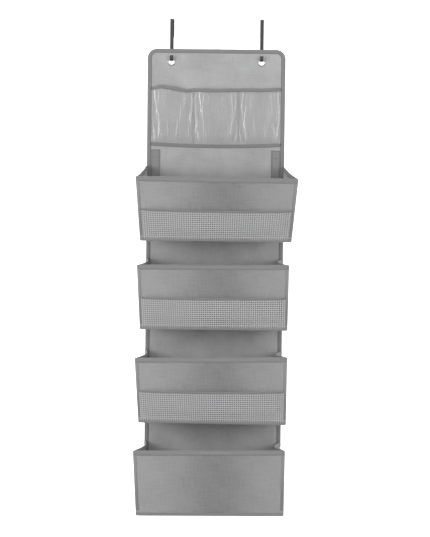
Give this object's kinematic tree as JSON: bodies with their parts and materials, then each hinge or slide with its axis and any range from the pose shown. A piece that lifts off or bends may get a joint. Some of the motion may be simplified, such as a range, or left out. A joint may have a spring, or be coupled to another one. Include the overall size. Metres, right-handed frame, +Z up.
{
  "type": "shoe organizer",
  "caption": "Over-the-door hanging shoe organizer: a fabric panel on steel hooks with deep fold-flat pockets, mesh front pockets and a strip of clear pockets.",
  "frame": {"origin": "on the door's top edge, midway between the hooks, in the plane of the door's front face", "axes": "+X to the viewer's right, +Y towards the door, +Z up"},
  "size_m": [0.3772, 0.1962, 1.1827],
  "materials": {
    "hook_steel": "dark grey satin",
    "eyelet_metal": "bright nickel",
    "panel_fabric": "woven mid grey",
    "front_fabric": "woven mid grey with a fine ribbed weave",
    "binding_tape": "folded grey tape with a stitched edge",
    "mesh": "light grey square mesh",
    "clear_film": "clear glossy film",
    "board": "plain board"
  },
  "bodies": {
    "hooks": {"hook_left": "hook_steel", "hook_right": "hook_steel"},
    "panel": {"back_panel": "panel_fabric", "panel_binding": "binding_tape", "eyelets": "eyelet_metal", "eyelet_washers": "eyelet_metal", "side_patches": "binding_tape", "clear_pocket_sheet": "clear_film", "clear_pocket_top_binding": "binding_tape", "clear_pocket_foot_binding": "binding_tape", "pocket_1_left_gusset": "panel_fabric", "pocket_1_right_gusset": "panel_fabric", "pocket_1_bottom": "panel_fabric", "pocket_1_gusset_bindings": "binding_tape", "pocket_2_left_gusset": "panel_fabric", "pocket_2_right_gusset": "panel_fabric", "pocket_2_bottom": "panel_fabric", "pocket_2_gusset_bindings": "binding_tape", "pocket_3_left_gusset": "panel_fabric", "pocket_3_right_gusset": "panel_fabric", "pocket_3_bottom": "panel_fabric", "pocket_3_gusset_bindings": "binding_tape", "pocket_4_left_gusset": "panel_fabric", "pocket_4_right_gusset": "panel_fabric", "pocket_4_bottom": "panel_fabric", "pocket_4_gusset_bindings": "binding_tape"},
    "front_1": {"pocket_1_front": "front_fabric", "pocket_1_front_board": "board", "pocket_1_rim_binding": "binding_tape", "pocket_1_foot_binding": "binding_tape", "pocket_1_corner_bindings": "binding_tape", "pocket_1_mesh": "mesh", "pocket_1_mesh_hem": "binding_tape"},
    "front_2": {"pocket_2_front": "front_fabric", "pocket_2_front_board": "board", "pocket_2_rim_binding": "binding_tape", "pocket_2_foot_binding": "binding_tape", "pocket_2_corner_bindings": "binding_tape", "pocket_2_mesh": "mesh", "pocket_2_mesh_hem": "binding_tape"},
    "front_3": {"pocket_3_front": "front_fabric", "pocket_3_front_board": "board", "pocket_3_rim_binding": "binding_tape", "pocket_3_foot_binding": "binding_tape", "pocket_3_corner_bindings": "binding_tape", "pocket_3_mesh": "mesh", "pocket_3_mesh_hem": "binding_tape"},
    "front_4": {"pocket_4_front": "front_fabric", "pocket_4_front_board": "board", "pocket_4_rim_binding": "binding_tape", "pocket_4_foot_binding": "binding_tape", "pocket_4_corner_bindings": "binding_tape"}
  },
  "joints": [
    {"name": "panel_swing", "type": "hinge", "parent": "hooks", "child": "panel", "pos_m": [0, -0.0085, -0.09123], "axis": [-1, 0, 0], "range_deg": [0, 10]},
    {"name": "pocket_1_fold", "type": "slide", "parent": "panel", "child": "front_1", "axis": [0, 1, 0], "range_m": [0, 0.102], "deforming": ["pocket_1_left_gusset", "pocket_1_right_gusset", "pocket_1_bottom", "pocket_1_gusset_bindings"]},
    {"name": "pocket_2_fold", "type": "slide", "parent": "panel", "child": "front_2", "axis": [0, 1, 0], "range_m": [0, 0.098], "deforming": ["pocket_2_left_gusset", "pocket_2_right_gusset", "pocket_2_bottom", "pocket_2_gusset_bindings"]},
    {"name": "pocket_3_fold", "type": "slide", "parent": "panel", "child": "front_3", "axis": [0, 1, 0], "range_m": [0, 0.098], "deforming": ["pocket_3_left_gusset", "pocket_3_right_gusset", "pocket_3_bottom", "pocket_3_gusset_bindings"]},
    {"name": "pocket_4_fold", "type": "slide", "parent": "panel", "child": "front_4", "axis": [0, 1, 0], "range_m": [0, 0.098], "deforming": ["pocket_4_left_gusset", "pocket_4_right_gusset", "pocket_4_bottom", "pocket_4_gusset_bindings"]}
  ]
}
